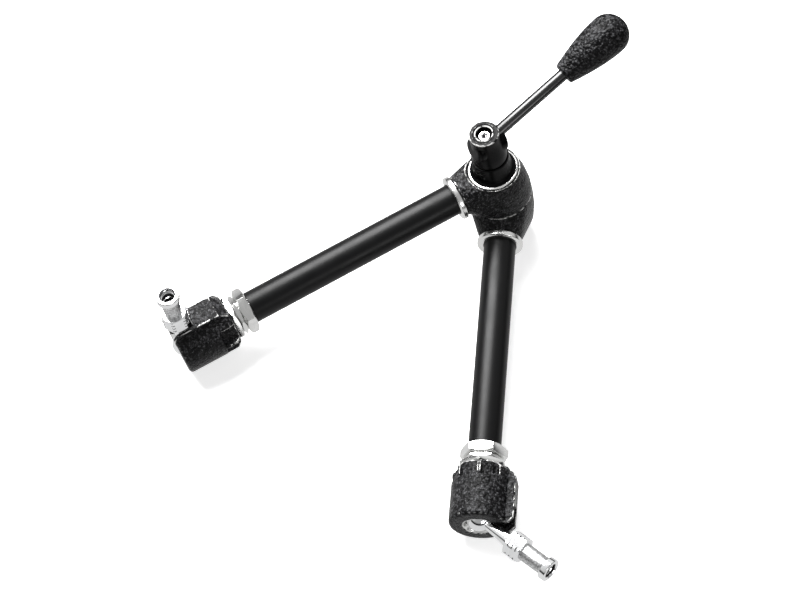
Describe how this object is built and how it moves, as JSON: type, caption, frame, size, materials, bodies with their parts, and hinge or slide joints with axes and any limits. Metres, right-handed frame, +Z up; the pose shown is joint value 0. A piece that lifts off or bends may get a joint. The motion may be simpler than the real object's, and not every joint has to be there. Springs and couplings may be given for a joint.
{
  "type": "articulating friction arm",
  "caption": "Jointed support arm: black tubes meet at a lever-locked elbow, and each outer end has a swivelling housing with a ball joint and a grooved spigot.",
  "frame": {"origin": "on the surface that the arm lies on, at the middle of the arm's box seen from above", "axes": "+Z up from that surface, -Y along the lower tube away from the elbow, +X to the side that the lever points to"},
  "size_m": [0.2982, 0.3636, 0.1541],
  "materials": {
    "crackle_black": "fine crackle enamel",
    "tube_black": "semi-gloss anodised",
    "satin_black": "satin black",
    "plastic_black": "fine leather grain",
    "nickel": "bright nickel",
    "chrome": "polished",
    "steel": "turned",
    "brass": "turned",
    "friction_brown": "matte friction lining",
    "guide_white": "moulded"
  },
  "bodies": {
    "lower_arm": {"lower_knuckle": "crackle_black", "friction_disc": "friction_brown", "base_cap": "plastic_black", "lower_collar_ring": "nickel", "lower_tube": "tube_black", "lower_rod_guide": "guide_white", "lower_tube_fitting": "nickel", "lower_jam_nut": "nickel", "lower_lock_ring": "nickel"},
    "upper_arm": {"upper_knuckle": "crackle_black", "thrust_washer": "steel", "upper_collar_ring": "nickel", "upper_tube": "tube_black", "upper_rod_guide": "guide_white", "upper_tube_fitting": "nickel", "upper_jam_nut": "nickel", "upper_lock_ring": "nickel"},
    "lever": {"lever_hub": "satin_black", "clamp_nut": "steel", "hub_screw": "nickel", "lever_rod": "satin_black", "lever_knob": "plastic_black"},
    "clamp_spindle": {"spindle": "steel", "upper_wedge": "steel", "lower_wedge": "steel"},
    "upper_rod": {"upper_push_rod": "steel", "upper_ball_cup": "brass"},
    "lower_rod": {"lower_push_rod": "steel", "lower_ball_cup": "brass"},
    "upper_housing": {"upper_ball_housing": "crackle_black"},
    "lower_housing": {"lower_ball_housing": "crackle_black"},
    "upper_stud": {"upper_ball_stud": "chrome"},
    "lower_stud": {"lower_ball_stud": "chrome"}
  },
  "joints": [
    {"name": "elbow_pivot", "type": "hinge", "parent": "lower_arm", "child": "upper_arm", "pos_m": [0.07026, 0.10044, 0.04174], "axis": [-0.186, -0.0147, 0.9824], "range_deg": [-280, 36]},
    {"name": "lever_turn", "type": "hinge", "parent": "upper_arm", "child": "lever", "pos_m": [0.06096, 0.09971, 0.09086], "axis": [-0.186, -0.0147, 0.9824], "range_deg": [0, 120]},
    {"name": "clamp_slide", "type": "slide", "parent": "lower_arm", "child": "clamp_spindle", "axis": [0.186, 0.0147, -0.9824], "range_m": [0, 0.001]},
    {"name": "upper_rod_slide", "type": "slide", "parent": "upper_arm", "child": "upper_rod", "axis": [0.8325, 0.5287, 0.1656], "range_m": [0, 0.000288]},
    {"name": "lower_rod_slide", "type": "slide", "parent": "lower_arm", "child": "lower_rod", "axis": [-0.0014, 0.9999, 0.0147], "range_m": [0, 0.000288]},
    {"name": "upper_housing_turn", "type": "hinge", "parent": "upper_arm", "child": "upper_housing", "pos_m": [-0.12049, -0.01878, 0.02267], "axis": [-0.8325, -0.5287, -0.1656], "range_deg": [-180, 180]},
    {"name": "lower_housing_turn", "type": "hinge", "parent": "lower_arm", "child": "lower_housing", "pos_m": [0.07402, -0.12426, 0.02025], "axis": [0.0014, -0.9999, -0.0147], "range_deg": [-180, 180]},
    {"name": "upper_ball_tilt", "type": "hinge", "parent": "upper_housing", "child": "upper_stud", "pos_m": [-0.13298, -0.02671, 0.02018], "axis": [-0.5218, 0.8487, -0.0861], "range_deg": [-93.4, 6.6]},
    {"name": "lower_ball_tilt", "type": "hinge", "parent": "lower_housing", "child": "lower_stud", "pos_m": [0.07404, -0.13926, 0.02003], "axis": [-0.1464, -0.0148, 0.9891], "range_deg": [-53.2, 46.8]}
  ],
  "couplings": [
    {"joint": "clamp_slide", "follows": "lever_turn", "m_per_rad": 0.0004774},
    {"joint": "upper_rod_slide", "follows": "lever_turn", "m_per_rad": 0.0001375},
    {"joint": "lower_rod_slide", "follows": "lever_turn", "m_per_rad": 0.0001375}
  ]
}
